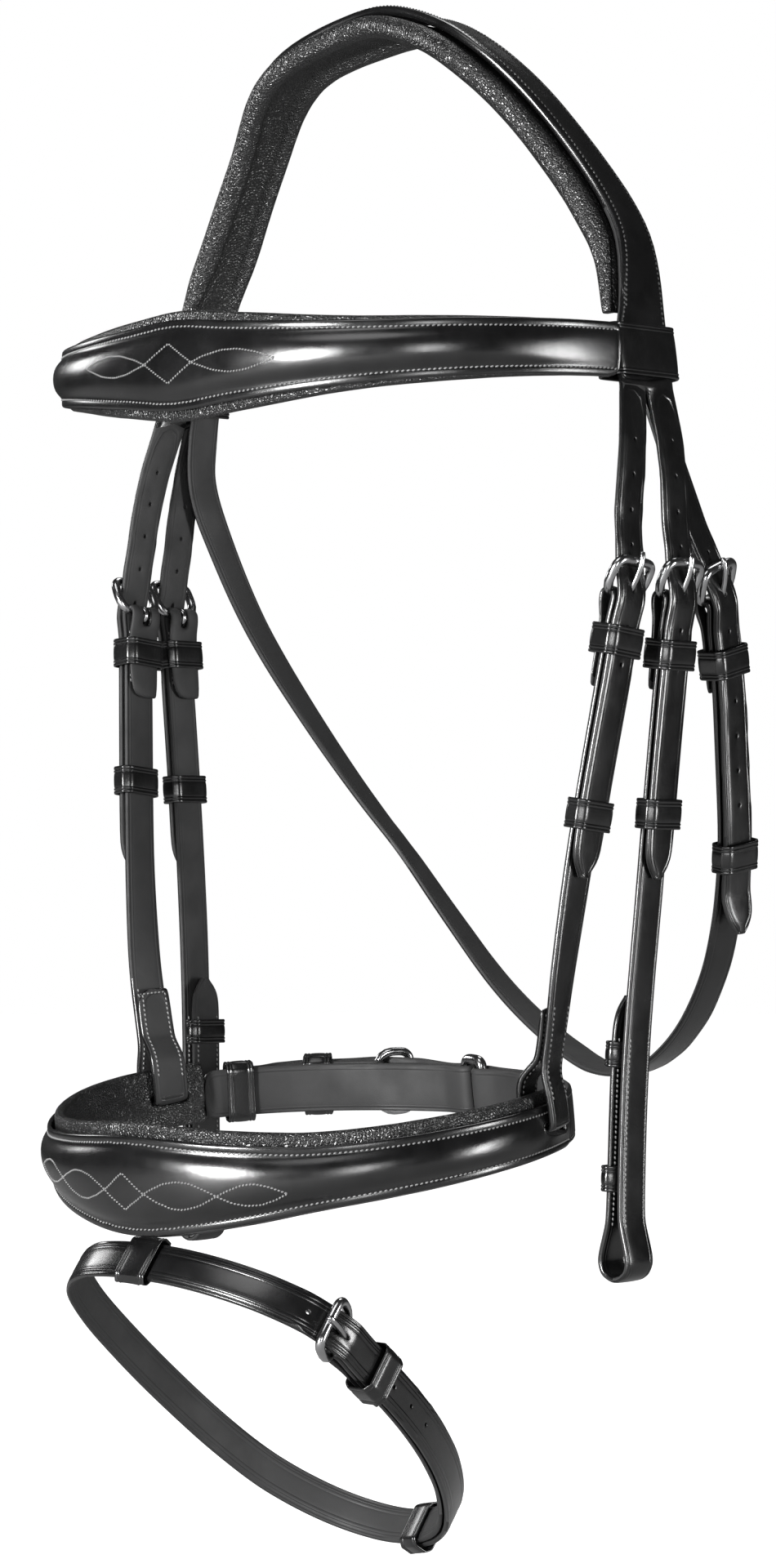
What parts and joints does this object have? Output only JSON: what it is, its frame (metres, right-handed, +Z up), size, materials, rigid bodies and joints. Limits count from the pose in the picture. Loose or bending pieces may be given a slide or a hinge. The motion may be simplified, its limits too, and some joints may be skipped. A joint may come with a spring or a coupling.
{
  "type": "anatomic bridle",
  "caption": "Anatomic snaffle bridle with padded crown, shaped browband, crank noseband and flash strap, buckled straps and bit loops.",
  "frame": {"origin": "middle of the crown on the poll, under the headpiece", "axes": "+Z up, the horse looks along -Y, its near (left) side is +X"},
  "size_m": [0.2806, 0.2548, 0.6093],
  "materials": {
    "bridle_leather": "glossy",
    "lining_leather": "satin",
    "stainless_steel": "polished"
  },
  "bodies": {
    "headstall": {"bit_keeper_near_1": "bridle_leather", "bit_keeper_near_2": "bridle_leather", "bit_keeper_off_1": "bridle_leather", "bit_keeper_off_2": "bridle_leather", "browband_face": "bridle_leather", "browband_loop_near": "bridle_leather", "browband_loop_off": "bridle_leather", "browband_pad": "lining_leather", "cheek_buckle_near": "stainless_steel", "cheek_buckle_off": "stainless_steel", "cheek_keeper_near": "bridle_leather", "cheek_keeper_off": "bridle_leather", "cheekpiece_near": "bridle_leather", "cheekpiece_off": "bridle_leather", "crown_pad": "lining_leather", "hanger_buckle_near": "stainless_steel", "hanger_buckle_off": "stainless_steel", "hanger_keeper_near": "bridle_leather", "hanger_keeper_off": "bridle_leather", "headpiece": "bridle_leather", "noseband_hanger_near": "bridle_leather", "noseband_hanger_off": "bridle_leather", "throatlash": "bridle_leather", "throatlash_buckle": "stainless_steel", "throatlash_keeper": "bridle_leather", "throatlash_point": "bridle_leather"},
    "hanger_tongue_near": {"hanger_tongue_near": "stainless_steel"},
    "hanger_runner_near": {"hanger_runner_near": "bridle_leather"},
    "cheek_tongue_near": {"cheek_tongue_near": "stainless_steel"},
    "cheek_runner_near": {"cheek_runner_near": "bridle_leather"},
    "hanger_tongue_off": {"hanger_tongue_off": "stainless_steel"},
    "hanger_runner_off": {"hanger_runner_off": "bridle_leather"},
    "cheek_tongue_off": {"cheek_tongue_off": "stainless_steel"},
    "cheek_runner_off": {"cheek_runner_off": "bridle_leather"},
    "throatlash_tongue": {"throatlash_tongue": "stainless_steel"},
    "throatlash_runner": {"throatlash_runner": "bridle_leather"},
    "noseband": {"noseband_face": "bridle_leather", "noseband_pad": "lining_leather", "noseband_ring_tab": "bridle_leather", "noseband_rear_strap": "bridle_leather", "noseband_buckle_tab": "bridle_leather", "noseband_buckle": "stainless_steel", "noseband_keeper": "bridle_leather", "noseband_ring": "stainless_steel"},
    "noseband_tongue": {"noseband_tongue": "stainless_steel"},
    "noseband_runner": {"noseband_runner": "bridle_leather"},
    "flash": {"flash_strap": "bridle_leather", "flash_buckle": "stainless_steel", "flash_keeper": "bridle_leather", "flash_loop": "bridle_leather"},
    "flash_tongue": {"flash_tongue": "stainless_steel"},
    "flash_runner": {"flash_runner": "bridle_leather"}
  },
  "joints": [
    {"name": "hanger_tongue_near_swing", "type": "hinge", "parent": "headstall", "child": "hanger_tongue_near", "pos_m": [0.12587, -0.01104, -0.22091], "axis": [0, 0.9949, -0.1005], "range_deg": [0, 5]},
    {"name": "hanger_runner_near_slide", "type": "slide", "parent": "headstall", "child": "hanger_runner_near", "axis": [-0.1163, -0.1034, -0.9878], "range_m": [-0.01, 0.01]},
    {"name": "cheek_tongue_near_swing", "type": "hinge", "parent": "headstall", "child": "cheek_tongue_near", "pos_m": [0.12972, 0.01504, -0.22094], "axis": [0, 0.9997, -0.0236], "range_deg": [0, 5]},
    {"name": "cheek_runner_near_slide", "type": "slide", "parent": "headstall", "child": "cheek_runner_near", "axis": [-0.0807, -0.0131, -0.9967], "range_m": [-0.01, 0.01]},
    {"name": "hanger_tongue_off_swing", "type": "hinge", "parent": "headstall", "child": "hanger_tongue_off", "pos_m": [-0.12587, -0.01104, -0.22091], "axis": [0, -0.9949, 0.1005], "range_deg": [0, 5]},
    {"name": "hanger_runner_off_slide", "type": "slide", "parent": "headstall", "child": "hanger_runner_off", "axis": [0.1245, -0.1105, -0.986], "range_m": [-0.01, 0.01]},
    {"name": "cheek_tongue_off_swing", "type": "hinge", "parent": "headstall", "child": "cheek_tongue_off", "pos_m": [-0.12972, 0.01504, -0.22094], "axis": [0, -0.9997, 0.0236], "range_deg": [0, 5]},
    {"name": "cheek_runner_off_slide", "type": "slide", "parent": "headstall", "child": "cheek_runner_off", "axis": [0.0891, -0.0139, -0.9959], "range_m": [-0.01, 0.01]},
    {"name": "throatlash_tongue_swing", "type": "hinge", "parent": "headstall", "child": "throatlash_tongue", "pos_m": [0.12705, 0.04384, -0.22102], "axis": [-0.0529, 0.9495, 0.3092], "range_deg": [0, 5]},
    {"name": "throatlash_runner_slide", "type": "slide", "parent": "headstall", "child": "throatlash_runner", "axis": [-0.1614, 0.1649, -0.973], "range_m": [-0.005, 0.005]},
    {"name": "noseband_swing", "type": "hinge", "parent": "headstall", "child": "noseband", "pos_m": [0, -0.02305, -0.418], "axis": [1, 0, 0], "range_deg": [-4, 4]},
    {"name": "noseband_tongue_swing", "type": "hinge", "parent": "noseband", "child": "noseband_tongue", "pos_m": [-0.05157, 0.04937, -0.41217], "axis": [0.0387, -0.1175, 0.9923], "range_deg": [0, 4]},
    {"name": "noseband_runner_slide", "type": "hinge", "parent": "noseband", "child": "noseband_runner", "pos_m": [-0.00295, -0.051, -0.42309], "axis": [0.0249, -0.0963, 0.995], "range_deg": [-0.7, 2.2]},
    {"name": "flash_swing", "type": "hinge", "parent": "noseband", "child": "flash", "pos_m": [0, -0.13142, -0.45701], "axis": [1, 0, 0], "range_deg": [-4, 8]},
    {"name": "flash_tongue_swing", "type": "hinge", "parent": "flash", "child": "flash_tongue", "pos_m": [0.0672, -0.10035, -0.49342], "axis": [0, 0.6156, 0.788], "range_deg": [0, 5]},
    {"name": "flash_runner_slide", "type": "hinge", "parent": "flash", "child": "flash_runner", "pos_m": [-0.01046, -0.0237, -0.5533], "axis": [0, 0.6157, 0.788], "range_deg": [-3.4, 1.7]}
  ]
}
